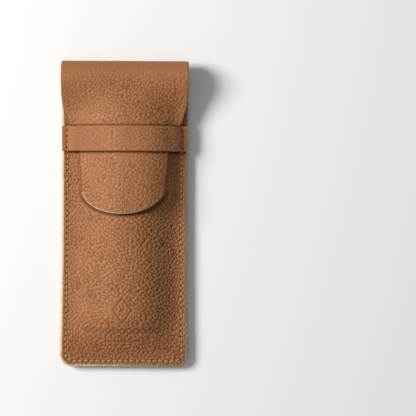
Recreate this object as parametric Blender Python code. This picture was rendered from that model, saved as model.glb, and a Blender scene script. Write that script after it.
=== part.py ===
"""A two-pen leather case: a lined, stitched pouch whose flap ends in a tongue tucked under a keeper band.

The case lies on its back panel with the flap closed. X runs across it, +Y towards the fold and +Z up.
The origin is on the table, under the middle of the case. Sizes are in millimetres, and the meshes in metres.

Back, spine, flap and tongue are one piece of hide on the real case. The half turn of its fold is made here
as three equal bends, each with its own axis, and the hide is cut at the middle of each bend. The tongue is
cut from the flap at the keeper band.
"""

import math

import bpy
import numpy as np

MM = 0.001

# Overall size
LENGTH = 160.0
WAIST_WIDTH = 65.4
FLARE = 0.8  # how much further each edge stands out at the two ends than at the waist
CORNER_RADIUS = 6.0

# Layers, from the inside out: microsuede lining, glue line, leather
LINING = 0.5
GLUE = 0.1
LEATHER = 1.3
SKIN = LINING + GLUE + LEATHER
CLEARANCE = 0.3  # between skins that only rest on each other
CUT = 0.3  # between the parts of one hide where it is divided for the folds

# The fold: half a turn, made of equal bends
FOLD_RADIUS = 8.5
FOLD_Y = LENGTH / 2 - FOLD_RADIUS
FOLD_THICKNESS = 2 * FOLD_RADIUS
BENDS = 3
BEND = 180.0 / BENDS
BEND_ANGLES = [-90.0 + BEND * (0.5 + bend) for bend in range(BENDS)]  # of their middles, above +Y
BEND_NAMES = "lower_fold", "middle_fold", "upper_fold"

# The pouch
MOUTH_Y = 67.0
SEAM_INSET = 2.9  # of the stitches, from the edge
DOME_INSET = 3.3  # of the foot of the front panel's dome, from the edge
DOME_POWER = 1.15  # above 1, the dome is fuller over the pens
CROWN_Z = 14.0  # inner face of the front lining, along the middle
MOUTH_DIP = 1.2  # how much lower the crown is at the mouth
MOUTH_DIP_Y, MOUTH_DIP_LENGTH = 10.0, 45.0  # where that dip starts, and how soon it is complete
BOTTOM_TAPER = 26.0  # length over which the dome rises from the bottom seam
BOTTOM_TAPER_Y = DOME_INSET + BOTTOM_TAPER - LENGTH / 2  # where that rise ends
SEAM_RISE = 1.6  # how far the side seams lift off the table
SEAM_FADE = 12.0  # length over which that lift dies out towards the fold
BACK_FLAT_X = 16.0
BACK_FLAT_Y = -58.0

# The flap and its tongue
SHOULDER_Y = 64.0  # where the flap starts to narrow
SHOULDER_END_Y = 46.4
SHOULDER_DRAW = 3.6
SHOULDER_POWER = 1.9
SHOULDER_CORNER = 1.5
FLAP_SETTLE = 20.0  # length over which the flap settles from the fold onto the dome
EDGE_LIFT = 1.5  # extra lift of the flap's edges over the side stitches
EDGE_LIFT_WIDTH = 4.0  # width outside the tongue's root over which that lift grows
TONGUE_TIP_Y = 0.0
TONGUE_TIP_LENGTH = 13.0
TONGUE_TIP_HALF = 21.4
TONGUE_ROOT_HALF = 24.0
TONGUE_SKEW = 0.4, 0.5  # offset of its middle line at the root, and further drift to the tip

# The keeper band
BAND_LOW_Y = 32.8
BAND_HIGH_Y = 45.9
BAND_LINING = 0.4
BAND_CLIMB = 25.2, 29.8  # |x| between which it climbs from the seam onto the tongue

# The stitching
THREAD_RADIUS = 0.35
THREAD_GAP = 0.2
THREAD_TOP_Y = 64.5

# The divider between the pens
DIVIDER_Y = -58.0, 60.0
DIVIDER_TOP_Z = 12.0
DIVIDER_HEADROOM = 1.0
DIVIDER_THICKNESS = 1.4
DIVIDER_RISE = 16.0  # length over which its top edge rises with the dome
FOOT_WIDTH = 12.0
FOOT_THICKNESS = 0.8

SLOPE_STEP = 0.01  # half the distance over which slopes are measured


# Shape of the case


def smooth(t):
    """0 below 0, 1 above 1, and an even curve between."""
    t = np.clip(t, 0.0, 1.0)
    return t * t * (3 - 2 * t)


def half_width(y):
    """Half the width of the case at y, with its rounded bottom corners."""
    flare = FLARE * (2 * y / LENGTH) ** 2
    past_corner = np.clip(CORNER_RADIUS - LENGTH / 2 - y, 0.0, CORNER_RADIUS)
    corner = CORNER_RADIUS - np.sqrt(CORNER_RADIUS**2 - past_corner**2)
    return WAIST_WIDTH / 2 + flare - corner


def seam_height(y):
    """Height of the meeting plane of the two linings along the seams."""
    fade = smooth((FOLD_Y - y) / SEAM_FADE)
    return SKIN + GLUE / 2 + SEAM_RISE * fade


def crown_height(y):
    """Height of the front lining's inner face on the middle line."""
    from_seam = (y + LENGTH / 2 - DOME_INSET) / BOTTOM_TAPER
    taper = (1 - np.cos(math.pi * np.clip(from_seam, 0.0, 1.0))) / 2
    foot = seam_height(y) + GLUE / 2
    dip = MOUTH_DIP * smooth((y - MOUTH_DIP_Y) / MOUTH_DIP_LENGTH)
    return foot + (CROWN_Z - dip - foot) * taper


def front_height(x, y):
    """Inner face of the front lining: a dome over the pens, flat along the seams."""
    reach = np.clip(np.abs(x) / (half_width(y) - DOME_INSET), 0.0, 1.0)
    dome = np.cos(math.pi / 2 * reach**DOME_POWER) ** 2
    foot = seam_height(y) + GLUE / 2
    return foot + (crown_height(y) - foot) * dome


def back_height(x, y):
    """Inner face of the back lining: flat on the table, lifting to the seams."""
    foot_x = half_width(y) - DOME_INSET
    side = smooth((np.abs(x) - BACK_FLAT_X) / (foot_x - BACK_FLAT_X))
    end = smooth((BACK_FLAT_Y - y) / (BACK_FLAT_Y + LENGTH / 2 - DOME_INSET))
    fade = smooth((FOLD_Y - y) / SEAM_FADE)
    return seam_height(y) - GLUE / 2 - SEAM_RISE * fade * (1 - side) * (1 - end)


def slopes(height, x, y):
    """The slopes of a height function along X and Y."""
    along_x = height(x + SLOPE_STEP, y) - height(x - SLOPE_STEP, y)
    along_y = height(x, y + SLOPE_STEP) - height(x, y - SLOPE_STEP)
    return along_x / (2 * SLOPE_STEP), along_y / (2 * SLOPE_STEP)


def over_front(x, y, distance):
    """Height of a surface at a distance above the front lining's inner face."""
    slope_x, slope_y = slopes(front_height, x, y)
    return front_height(x, y) + distance * np.sqrt(1 + slope_x**2 + slope_y**2)


def tongue_height(x, y):
    """Inner face of the tongue's lining, resting on the front panel."""
    return over_front(x, y, SKIN + CLEARANCE)


def flap_height(x, y):
    """Inner face of the flap's lining, level at the fold and settling onto the front panel."""
    edge = EDGE_LIFT * smooth((np.abs(x) - TONGUE_ROOT_HALF) / EDGE_LIFT_WIDTH)
    resting = over_front(x, y, SKIN + CLEARANCE + edge)
    settled = smooth((FOLD_Y - y) / FLAP_SETTLE)
    level = FOLD_THICKNESS - SKIN
    return resting + (level - resting) * (1 - settled)


def band_height(x, y):
    """Inner face of the keeper band's lining: sewn down at the seams, over the tongue between."""
    low, high = BAND_CLIMB
    lift = (SKIN + CLEARANCE) * (1 + smooth((high - np.abs(x)) / (high - low)))
    return over_front(x, y, lift)


def flap_half_width(y):
    """Half the width of the flap, drawing in to the shoulders above the band."""
    below = np.clip((SHOULDER_Y - y) / (SHOULDER_Y - SHOULDER_END_Y), 0.0, 1.0)
    past_corner = np.clip(SHOULDER_END_Y + SHOULDER_CORNER - y, 0.0, SHOULDER_CORNER)
    corner = SHOULDER_CORNER - np.sqrt(SHOULDER_CORNER**2 - past_corner**2)
    return half_width(y) - SHOULDER_DRAW * below**SHOULDER_POWER - corner


# Grids of points, one row for each place along the case


def spread(half, count):
    """Rows of evenly spaced x from -half to half."""
    return np.asarray(half)[:, None] * np.linspace(-1, 1, count)


def seamed_columns(y, count=17):
    """Rows of x that are even across the dome, with the seam allowance outside it."""
    edge = half_width(y)[:, None]
    inner = spread(half_width(y) - DOME_INSET, count)
    return np.hstack([-edge, inner, edge])


def corner_rows(start_y, radius, toward=-1):
    """Places along Y round a corner of that radius."""
    return start_y + toward * radius * np.sin(np.radians([30.0, 60.0, 90.0]))


def lay(height, x, y, side=1):
    """Points and outward normals of the surface z = height(x, y), facing up or down."""
    y = np.broadcast_to(np.asarray(y)[:, None], x.shape)
    slope_x, slope_y = slopes(height, x, y)
    normals = np.stack([-slope_x, -slope_y, np.ones_like(x)], axis=-1) * side
    normals /= np.linalg.norm(normals, axis=-1, keepdims=True)
    return np.stack([x, y, height(x, y)], axis=-1), normals


def turn(x, degrees):
    """Points and outward normals round the fold's inner face, at angles above +Y."""
    x = np.repeat(x, len(degrees), axis=0)
    angle = np.radians(np.asarray(degrees))[:, None] + np.zeros_like(x)
    normals = np.stack([np.zeros_like(x), np.cos(angle), np.sin(angle)], axis=-1)
    centre = np.stack([x, np.full_like(x, FOLD_Y), np.full_like(x, FOLD_RADIUS)], axis=-1)
    return centre + normals * (FOLD_RADIUS - SKIN), normals


def follow(*pieces):
    """One grid out of several that continue each other."""
    points = np.vstack([p for p, _ in pieces])
    normals = np.vstack([n for _, n in pieces])
    return points, normals


def cut_angle():
    """Half the cut between two parts of the hide, as an angle at the fold."""
    return math.degrees(CUT / 2 / (FOLD_RADIUS - SKIN))


# Objects


def plain_material(name, colour, roughness):
    material = bpy.data.materials.new(name)
    material.use_nodes = True
    shader = material.node_tree.nodes["Principled BSDF"]
    shader.inputs["Base Color"].default_value = (*colour, 1.0)
    shader.inputs["Roughness"].default_value = roughness
    shader.inputs["Metallic"].default_value = 0.0
    return material


def solid(name, corners, faces, material, axis):
    """A mesh object, hung on the empty of the fold that it turns about."""
    origin = np.array(axis["place"])
    mesh = bpy.data.meshes.new(name)
    mesh.from_pydata((np.asarray(corners) - origin) * MM, [], faces)
    mesh.materials.append(material)
    mesh.shade_smooth()
    mesh.set_sharp_from_angle(angle=math.radians(35))
    made = bpy.data.objects.new(name, mesh)
    bpy.context.scene.collection.objects.link(made)
    made.parent = axis["empty"]
    return made


def sheet(name, grid, inner, outer, material, axis):
    """A closed skin between two distances from a surface."""
    points, normals = grid
    rows, columns = points.shape[:2]
    count = rows * columns
    index = np.arange(count).reshape(rows, columns)
    a, b = index[:-1, :-1].ravel(), index[:-1, 1:].ravel()
    d, c = index[1:, :-1].ravel(), index[1:, 1:].ravel()
    cells = np.vstack([np.stack([a, b, c], 1), np.stack([a, c, d], 1)])
    first, second, third = points[0, 0], points[0, 1], points[1, 1]
    facing = np.dot(np.cross(second - first, third - first), normals[0, 0])
    if facing < 0:
        cells = cells[:, ::-1]
    rim = np.concatenate([index[0, :-1], index[:-1, -1], index[-1, :0:-1], index[:0:-1, 0]])
    ahead = np.roll(rim, -1)
    if facing < 0:
        rim, ahead = ahead, rim
    lower_walls = np.stack([rim, ahead, ahead + count], 1)
    upper_walls = np.stack([rim, ahead + count, rim + count], 1)
    faces = np.vstack([cells[:, ::-1], cells + count, lower_walls, upper_walls])
    inner_face = (points + normals * inner).reshape(-1, 3)
    outer_face = (points + normals * outer).reshape(-1, 3)
    return solid(name, np.vstack([inner_face, outer_face]), faces.tolist(), material, axis)


def lined(name, lining_name, grid, materials, axis, lining=LINING):
    """A leather skin and the lining glued inside it."""
    leather, suede = materials
    sheet(lining_name, grid, 0.0, lining, suede, axis)
    sheet(name, grid, lining + GLUE, lining + GLUE + LEATHER, leather, axis)


def bend_place(angle):
    """The line that a bend turns about, placed so that the fold opens flat on the table."""
    half = math.radians(BEND / 2)
    reach = FOLD_RADIUS * half / math.sin(half)
    direction = math.radians(angle)
    return 0.0, FOLD_Y + reach * math.cos(direction), FOLD_RADIUS + reach * math.sin(direction)


def fold_axis(name, place, parent=None):
    """An empty on the line that a part of the case turns about."""
    empty = bpy.data.objects.new(name, None)
    bpy.context.scene.collection.objects.link(empty)
    offset = np.array(place)
    if parent:
        empty.parent = parent["empty"]
        offset = offset - np.array(parent["place"])
    empty.location = offset * MM
    return {"empty": empty, "place": place}


# Parts


def pouch(materials, axis):
    """The back panel, which runs into the fold, and the domed front panel, each with its lining."""
    corner_y = CORNER_RADIUS - LENGTH / 2
    lifted_y = FOLD_Y - SEAM_FADE
    near_mouth = np.linspace(MOUTH_Y, lifted_y, 3)
    along_pens = np.linspace(lifted_y, BOTTOM_TAPER_Y, 11)[1:]
    near_bottom = np.linspace(BOTTOM_TAPER_Y, corner_y, 6)[1:]
    corner = corner_rows(corner_y, CORNER_RADIUS)
    shared = np.hstack([near_mouth, along_pens, near_bottom, corner])
    y = np.hstack([FOLD_Y, shared])
    at_fold = np.linspace(BEND_ANGLES[0] - cut_angle(), -90.0, 3)[:-1]
    fold_x = seamed_columns(np.array([FOLD_Y]))
    back = follow(turn(fold_x, at_fold), lay(back_height, seamed_columns(y), y, side=-1))
    lined("back_panel", "back_lining", back, materials, axis)
    lined("front_panel", "front_lining", lay(front_height, seamed_columns(shared), shared), materials, axis)


def keeper_band(materials, axis):
    """The strap across the front, sewn into both side seams, that holds the tongue."""
    y = np.linspace(BAND_HIGH_Y, BAND_LOW_Y, 4)
    climb = [*BAND_CLIMB, sum(BAND_CLIMB) / 2]
    over_tongue = np.linspace(0.0, TONGUE_ROOT_HALF - 3.0, 6)
    inner = np.unique(np.hstack([over_tongue, climb]))
    inner = np.unique(np.hstack([-inner, inner]))
    edge = half_width(y)[:, None]
    x = np.hstack([-edge, np.repeat(inner[None, :], len(y), axis=0), edge])
    lined("keeper_band", "band_lining", lay(band_height, x, y), materials, axis, lining=BAND_LINING)


def seam_path(height_above, side_height):
    """Points of the stitching: down one side, round the bottom and up the other side."""
    inset, radius = SEAM_INSET, CORNER_RADIUS - SEAM_INSET
    y = side_height[:, 0]
    left = np.stack([inset - half_width(y), y, side_height[:, 1]], axis=1)
    middle_y = CORNER_RADIUS - LENGTH / 2
    level = seam_height(middle_y) + height_above
    middle_x = half_width(middle_y) - CORNER_RADIUS
    turns = np.radians(np.linspace(0.0, 90.0, 5))
    corner_x = -middle_x - radius * np.cos(turns)
    corner_y = middle_y - radius * np.sin(turns)
    corner = np.stack([corner_x, corner_y, np.full_like(turns, level)], axis=1)
    half = np.vstack([left, corner, [[0.0, corner[-1, 1], level]]])
    return np.vstack([half, half[-2::-1] * [-1, 1, 1]])


def thread(name, path, material, axis):
    """One thread of the lockstitch, as a continuous round tube."""
    curve = bpy.data.curves.new(name, "CURVE")
    curve.dimensions = "3D"
    curve.bevel_depth = THREAD_RADIUS * MM
    curve.bevel_resolution = 1
    curve.use_fill_caps = True
    spline = curve.splines.new("POLY")
    spline.points.add(len(path) - 1)
    for point, place in zip(spline.points, (path - axis["place"]) * MM):
        point.co = (*place, 1.0)
    curve.materials.append(material)
    made = bpy.data.objects.new(name, curve)
    bpy.context.scene.collection.objects.link(made)
    made.parent = axis["empty"]


def stitching(material, axis):
    """The needle thread on the front of the seam, over the band's ends, and the bobbin thread behind."""
    off_surface = THREAD_GAP + THREAD_RADIUS
    on_panel = GLUE / 2 + SKIN + off_surface
    band_stack = SKIN + CLEARANCE + BAND_LINING + GLUE + LEATHER
    on_band = GLUE / 2 + band_stack + off_surface
    ramp = 1.0
    past_edge = THREAD_RADIUS
    onto_band = BAND_HIGH_Y + past_edge
    off_band = BAND_LOW_Y - past_edge
    low_y = CORNER_RADIUS - LENGTH / 2
    top = [THREAD_TOP_Y, THREAD_TOP_Y - 1.0, THREAD_TOP_Y - 4.5]
    below_band = np.linspace(off_band - ramp, low_y, 7)[:-1]
    y = np.hstack([top, onto_band + ramp, onto_band, off_band, below_band])
    on_strap = (y < onto_band + past_edge) & (y > off_band - past_edge)
    rise = np.where(on_strap, on_band, on_panel)
    front = np.stack([y, seam_height(y) + rise], axis=1)
    thread("front_seam_thread", seam_path(on_panel, front), material, axis)

    plain = np.hstack([top, np.linspace(THREAD_TOP_Y - 4.5, low_y, 6)[1:-1]])
    back = np.stack([plain, seam_height(plain) - on_panel], axis=1)
    thread("back_seam_thread", seam_path(-on_panel, back), material, axis)


def divider(material, axis):
    """The web between the two pens, with a foot glued to the back lining."""
    base = SKIN + GLUE
    foot, web = FOOT_WIDTH / 2, DIVIDER_THICKNESS / 2
    low_y, high_y = DIVIDER_Y
    y = np.hstack([np.linspace(low_y, low_y + DIVIDER_RISE, 5), high_y])
    top = np.minimum(DIVIDER_TOP_Z, crown_height(y) - DIVIDER_HEADROOM)
    corners = []
    for place, high in zip(y, top):
        ankle = base + FOOT_THICKNESS
        outline = [(-foot, base), (foot, base), (foot, ankle), (web, ankle), (web, high)]
        outline += [(-web, high), (-web, ankle), (-foot, ankle)]
        corners += [(x, place, z) for x, z in outline]
    sides = len(outline)
    faces = [tuple(range(sides)), tuple(range(len(corners) - 1, len(corners) - 1 - sides, -1))]
    for row in range(len(y) - 1):
        for side in range(sides):
            a, b = row * sides + side, row * sides + (side + 1) % sides
            faces.append((b, a, a + sides, b + sides))
    solid("divider", corners, faces, material, axis)


def spine(name, start, end, materials, axis):
    """A stretch of the outside of the fold, between the middles of two bends."""
    x = spread(half_width(np.array([FOLD_Y])), 2)
    grid = turn(x, np.linspace(start + cut_angle(), end - cut_angle(), 5))
    lined(name + "_panel", name + "_lining", grid, materials, axis)


def flap(materials, axis):
    """The flap from the fold to its shoulders, and the tongue that goes on under the band."""
    at_fold = np.linspace(BEND_ANGLES[-1] + cut_angle(), 90.0, 3)[:-1]
    corner_y = SHOULDER_END_Y + SHOULDER_CORNER
    settled_y = FOLD_Y - FLAP_SETTLE
    straight = np.hstack([np.linspace(FOLD_Y, settled_y, 6), (settled_y + corner_y) / 2, corner_y])
    y = np.hstack([straight, corner_rows(corner_y, SHOULDER_CORNER)])
    fold_x = spread(flap_half_width(np.array([FOLD_Y])), 17)
    shoulder = follow(turn(fold_x, at_fold), lay(flap_height, spread(flap_half_width(y), 17), y))
    lined("flap_panel", "flap_lining", shoulder, materials, axis)

    root_y = SHOULDER_END_Y - CUT
    tip_start_y = TONGUE_TIP_Y + TONGUE_TIP_LENGTH
    straight = np.linspace(root_y, tip_start_y, 6)
    share = (straight - tip_start_y) / (root_y - tip_start_y)
    half = TONGUE_TIP_HALF + (TONGUE_ROOT_HALF - TONGUE_TIP_HALF) * share
    turns = np.radians([20.0, 38.0, 54.0, 68.0, 79.0, 86.0])
    y = np.hstack([straight, tip_start_y - TONGUE_TIP_LENGTH * np.sin(turns)])
    half = np.hstack([half, TONGUE_TIP_HALF * np.cos(turns)])
    at_root, drift = TONGUE_SKEW
    middle = -at_root - drift * (root_y - y) / (root_y - TONGUE_TIP_Y)
    x = spread(half, 13) + middle[:, None]
    lined("flap_tongue", "tongue_lining", lay(tongue_height, x, y), materials, axis)


def main():
    for thing in list(bpy.data.objects):
        bpy.data.objects.remove(thing, do_unlink=True)
    leather = plain_material("tan_leather", (0.40, 0.185, 0.085), 0.55)
    suede = plain_material("cream_suede", (0.66, 0.55, 0.42), 0.9)
    cotton = plain_material("golden_thread", (0.55, 0.33, 0.12), 0.6)
    hide = leather, suede

    case_axis = fold_axis("case_axis", (0.0, 0.0, 0.0))
    axes = [case_axis]
    for name, angle in zip(BEND_NAMES, BEND_ANGLES):
        axes.append(fold_axis(name, bend_place(angle), axes[-1]))

    pouch(hide, case_axis)
    keeper_band(hide, case_axis)
    stitching(cotton, case_axis)
    divider(suede, case_axis)
    spine("spine_lower", BEND_ANGLES[0], BEND_ANGLES[1], hide, axes[1])
    spine("spine_upper", BEND_ANGLES[1], BEND_ANGLES[2], hide, axes[2])
    flap(hide, axes[3])
    bpy.context.view_layer.update()


main()
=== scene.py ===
"""The looks of the fountain pen case: pebbled leather, suede linings and stitches, over the CAD frame.

Every skin of the case is a sheet laid on a surface of the CAD model, which is slightly reshaped here: a flat
pattern in millimetres is triangulated, lifted onto the surface and given the grain, stitch holes and marks.
"""

import math

import bpy
import numpy as np
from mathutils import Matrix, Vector, kdtree
from mathutils.geometry import delaunay_2d_cdt


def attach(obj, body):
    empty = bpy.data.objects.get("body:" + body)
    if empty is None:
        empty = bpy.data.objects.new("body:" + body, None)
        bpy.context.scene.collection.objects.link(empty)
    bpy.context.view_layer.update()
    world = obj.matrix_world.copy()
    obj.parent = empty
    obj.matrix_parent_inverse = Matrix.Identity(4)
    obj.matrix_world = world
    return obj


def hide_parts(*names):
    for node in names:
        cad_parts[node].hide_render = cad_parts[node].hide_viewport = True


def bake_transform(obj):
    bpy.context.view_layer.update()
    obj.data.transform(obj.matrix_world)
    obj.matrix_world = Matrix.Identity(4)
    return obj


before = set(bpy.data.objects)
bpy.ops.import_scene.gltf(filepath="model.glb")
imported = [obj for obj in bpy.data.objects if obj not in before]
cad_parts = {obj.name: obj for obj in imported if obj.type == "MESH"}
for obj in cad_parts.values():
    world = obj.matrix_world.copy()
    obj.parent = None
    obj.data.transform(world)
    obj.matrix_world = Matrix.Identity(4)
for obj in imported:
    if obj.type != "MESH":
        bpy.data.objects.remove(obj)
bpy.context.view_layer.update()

MM = 0.001

# The CAD model's own sizes, in millimetres
LENGTH, WAIST_WIDTH, FLARE, CORNER_RADIUS = 160.0, 65.4, 0.8, 6.0
LINING, GLUE, LEATHER, BAND_LINING = 0.5, 0.1, 1.3, 0.4
SKIN = LINING + GLUE + LEATHER
BAND_SKIN = BAND_LINING + GLUE + LEATHER
CLEARANCE = 0.3
FOLD_RADIUS = 8.5
FOLD_Y = LENGTH / 2 - FOLD_RADIUS
QUARTER = FOLD_RADIUS * math.pi / 2  # path round the outside of a quarter turn
BEND_CUT = FOLD_RADIUS * math.radians(30)  # path from the fold's middle to its cuts
SEAM_INSET, DOME_INSET, DOME_POWER = 2.9, 3.3, 1.15
CROWN_Z, BOTTOM_TAPER = 14.0, 26.0
MOUTH_DIP, MOUTH_DIP_Y, MOUTH_DIP_LENGTH = 1.2, 10.0, 45.0
SEAM_RISE, SEAM_FADE = 1.6, 12.0
BACK_FLAT_X, BACK_FLAT_Y = 16.0, -58.0
SHOULDER_Y, SHOULDER_DRAW, SHOULDER_POWER, SHOULDER_CORNER = 64.0, 3.6, 1.9, 1.5
FLAP_SETTLE = 20.0
TONGUE_TIP_LENGTH, TONGUE_TIP_HALF, TONGUE_ROOT_HALF = 13.0, 21.4, 24.0
TONGUE_SKEW, TONGUE_DRIFT = 0.4, 0.5  # to the left, at the shoulders and from there to the tip
SHOULDER_END_Y, TONGUE_TIP_Y, MOUTH_Y = 46.4, 0.0, 67.0
BAND_LOW_Y, BAND_HIGH_Y = 32.8, 45.9
BAND_CLIMB = (25.2, 29.8)  # between these X the band climbs over the tongue
DIVIDER_Y, DIVIDER_TOP_Z, DIVIDER_HEADROOM = (-58.0, 60.0), 12.0, 1.0
DIVIDER_THICKNESS, FOOT_WIDTH, FOOT_THICKNESS = 1.4, 12.0, 0.8

# How the divider's crest dips at the mouth, and how its web waves and leans
DIVIDER_DIP, DIVIDER_DIP_LENGTH, DIVIDER_WAVE, DIVIDER_LEAN = 1.2, 3.0, 0.12, 0.18

# How the leather sits, where that differs from the CAD's even surfaces
DOME_SKEW = 3.0  # shift of the dome's crest to the right
UNEVEN_DOME = 0.22  # height of its bumps
FLAP_LIFT, FLAP_LIFT_X, FLAP_LIFT_WIDTH = 0.9, 15.0, 13.0  # of the flap's sides, over the stitches
SPRING, SPRING_X, SPRING_WIDTH = 1.6, 3.0, 19.0  # of the tongue's and flap's right side, off the dome
TIP_LIFT, TIP_LIFT_LENGTH = 1.1, 15.0  # of the tongue's tip, off the front panel

# Meshes: spacing of points, and how a raw edge is pared
OUTLINE_SPACING, HIDDEN_SPACING, SUEDE_SPACING = 0.42, 3.0, 0.9
BACK_SPACING, FOLD_SPACING, FRONT_SPACING, BAND_SPACING = 0.41, 0.38, 0.37, 0.34
EDGE_RINGS = (0.5, 0.85, 1.3)  # insets of the rows of points along a cut edge
PANEL_RINGS = (0.95, 1.25, 1.6)  # the same along the pouch's own edge, which is pared wider
PARING, EDGE_ROUNDING = 0.62, 0.13  # depth of the paring at the very edge, and of the softening inside it
LEAST_THICKNESS = 0.12
CUT_POINTS, OUTLINE_STEPS, SAME_POINT = 161, 4000, 0.02
RING_GAP, DETAIL_GAP, FILL_GAP = 0.18, 0.12, 0.62  # least distances; the last is a share of the spacing
FAR_OFF = 99.0  # a distance at which nothing shows

# Painted shade on the raw edges, from none on the left to most on the right; and the part of the hide's bevel
# that is bare at the tongue's tip
RAW_EDGE_SHADE, RAW_EDGE_SHADE_START_X, RAW_EDGE_SHADE_LENGTH = 0.95, -14.0, 30.0
# the tip's bare cream bevel stops short of its shaded right end, so only its lit part shows cream: painted
# light
BARE_TIP_X, BARE_TIP_Y = 15.0, 11.0

# Grain: a turned net of pebbles whose rows wander
PEBBLE, GRAIN_TURN = 1.72, math.radians(33)
ROW_WANDER, ROW_WANDER_SIZE = 0.45, 3.1
VALLEY_WIDTH, PIT_WIDTH, CROWN_SHARE = 0.70, 0.80, 0.62
PATCH, PATCH_SIZE, SMALL_PATCH, SMALL_PATCH_SIZE = 0.28, 13.0, 0.15, 5.0
GRAIN_DEPTH = 0.40
FRONT_GRAIN, BAND_GRAIN = 1.18, 0.75
FOLD_GRAIN, GRAIN_GAIN = 0.12, 0.78  # on the fold, and how much more off it
NAP_DEPTH = 0.05  # of the suede

# Stitches
STITCH_PITCH, THREAD_TOP_Y = 3.0, 64.5
FURROW_DEPTH, FURROW_WIDTH = 0.20, 0.75
# the holes' darkness is painted shade: above 1 it turns the hide nearly black
HOLE_DEPTH, HOLE_RADIUS, HOLE_SHADE = 0.95, 0.52, 1.6
HOLE_REACH = 1.2  # beyond it, a hole changes nothing
HOLE_RINGS = (0.30, 6), (0.62, 10)  # radius and number of the extra points round a hole
PLY_RADIUS, PLY_OFFSET, PLY_TURNS = 0.215, 0.15, 1.6
STITCH_SINK, STITCH_CREST, CREST_SPREAD = 0.95, 0.10, 0.04
STITCH_SLANT, SLANT_SPREAD = 0.10, 0.05
DIVE_START, DIVE_LENGTH = 0.05, 0.24  # shares of a stitch's length

# Painted shadow lines: along the band, round the tongue, and on the flap's edges, darkened as painted shade
SHADOW_LINE_DARK = 1.3  # above 1 the painted shade turns nearly black
BAND_SHADOW_WIDTH, BAND_SHADOW_FADE = 0.7, 1.1
TONGUE_SHADOW_WIDTH, TONGUE_SHADOW_FADE, TONGUE_GROOVE_DEPTH = 0.9, 1.5, 0.2
FLAP_EDGE_SHADE_WIDTH, FLAP_EDGE_SHADE_FADE = 0.3, 0.5

# The band's crease, and the blind-stamped mark: a lozenge with a dot, a chain and a rule
CREASE_X, CREASE_WIDTH, CREASE_DEPTH = -5.5, 0.28, 0.14
MARK_X, MARK_Y = -0.3, -50.2
LOZENGE = 4.7, 6.3
CHAIN_Y, CHAIN_HALF, CHAIN_HEIGHT, CHAIN_LINKS = -60.6, 19.5, 1.5, 11
RULE_Y, RULE_HALF = -66.2, 9.0
STAMP_DEPTH, STAMP_WIDTH, STAMP_FADE = 0.6, 0.22, 0.32
DOT_RADIUS, DOT_FADE = 0.8, 0.3
STAMP_RIM, STAMP_RIM_PLACE, STAMP_RIM_WIDTH = 0.06, 0.85, 0.3
MARK_SPACING, MARK_ROW = 0.34, 0.3  # of the extra points along the mark's lines, and between their rows

# Seeds of everything random; the grain also uses the four numbers after its own
DOME_SEED, EDGE_SEED, CREASE_SEED = 5, 31, 8
FRONT_SEED, HIDE_SEED, BAND_SEED = 11, 23, 37
NAP_SEED, CLOUD_SEED = 51, 52
DIVIDER_TOP_SEED, DIVIDER_LEAN_SEED = 61, 62
NEEDLE_SEED, BOBBIN_SEED = 71, 72


def smooth(t):
    t = np.clip(t, 0.0, 1.0)
    return t * t * (3 - 2 * t)


def wander(a, b, size, seed):
    """Smooth noise from -1 to 1 whose hills are about size apart."""
    table = np.random.default_rng(seed).uniform(-1, 1, (64, 64))
    a, b = a / size, b / size
    i, j = np.floor(a).astype(int), np.floor(b).astype(int)
    u, v = smooth(a - i), smooth(b - j)
    low = table[i % 64, j % 64] * (1 - u) + table[(i + 1) % 64, j % 64] * u
    high = table[i % 64, (j + 1) % 64] * (1 - u) + table[(i + 1) % 64, (j + 1) % 64] * u
    return low * (1 - v) + high * v


# Shape of the case


def half_width(y):
    flare = FLARE * (2 * y / LENGTH) ** 2
    past_corner = np.clip(CORNER_RADIUS - LENGTH / 2 - y, 0.0, CORNER_RADIUS)
    corner = CORNER_RADIUS - np.sqrt(CORNER_RADIUS**2 - past_corner**2)
    return WAIST_WIDTH / 2 + flare - corner


def seam_height(y):
    return SKIN + GLUE / 2 + SEAM_RISE * smooth((FOLD_Y - y) / SEAM_FADE)


def crown_height(y):
    from_seam = (y + LENGTH / 2 - DOME_INSET) / BOTTOM_TAPER
    taper = (1 - np.cos(math.pi * np.clip(from_seam, 0.0, 1.0))) / 2
    foot = seam_height(y) + GLUE / 2
    dip = MOUTH_DIP * smooth((y - MOUTH_DIP_Y) / MOUTH_DIP_LENGTH)
    return foot + (CROWN_Z - dip - foot) * taper


def front_height(x, y):
    """Inner face of the front lining: the CAD's dome, fuller on the right and a little uneven."""
    foot_x = half_width(y) - DOME_INSET
    fuller = x - DOME_SKEW * np.clip(1 - (x / foot_x) ** 2, 0.0, 1.0)
    reach = np.clip(np.abs(fuller) / foot_x, 0.0, 1.0)
    dome = np.cos(math.pi / 2 * reach**DOME_POWER) ** 2
    foot = seam_height(y) + GLUE / 2
    uneven = UNEVEN_DOME * wander(x + 200, y + 200, 17.0, DOME_SEED) * dome * smooth((y + 76) / 12)
    return foot + (crown_height(y) - foot) * dome + uneven


def back_height(x, y):
    foot_x = half_width(y) - DOME_INSET
    side = smooth((np.abs(x) - BACK_FLAT_X) / (foot_x - BACK_FLAT_X))
    end = smooth((BACK_FLAT_Y - y) / (BACK_FLAT_Y + LENGTH / 2 - DOME_INSET))
    fade = smooth((FOLD_Y - y) / SEAM_FADE)
    return seam_height(y) - GLUE / 2 - SEAM_RISE * fade * (1 - side) * (1 - end)


def over_front(x, y, distance):
    """Height of a layer that lies at a distance over the front, measured square to it."""
    step = 0.05
    slope_x = (front_height(x + step, y) - front_height(x - step, y)) / (2 * step)
    slope_y = (front_height(x, y + step) - front_height(x, y - step)) / (2 * step)
    return front_height(x, y) + distance * np.sqrt(1 + slope_x**2 + slope_y**2)


def spring(x, y):
    """Lift of the stiff hide that doesn't follow the dome down on the right."""
    return SPRING * smooth((x - SPRING_X) / SPRING_WIDTH) * smooth((FOLD_Y - y) / FLAP_SETTLE)


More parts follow.
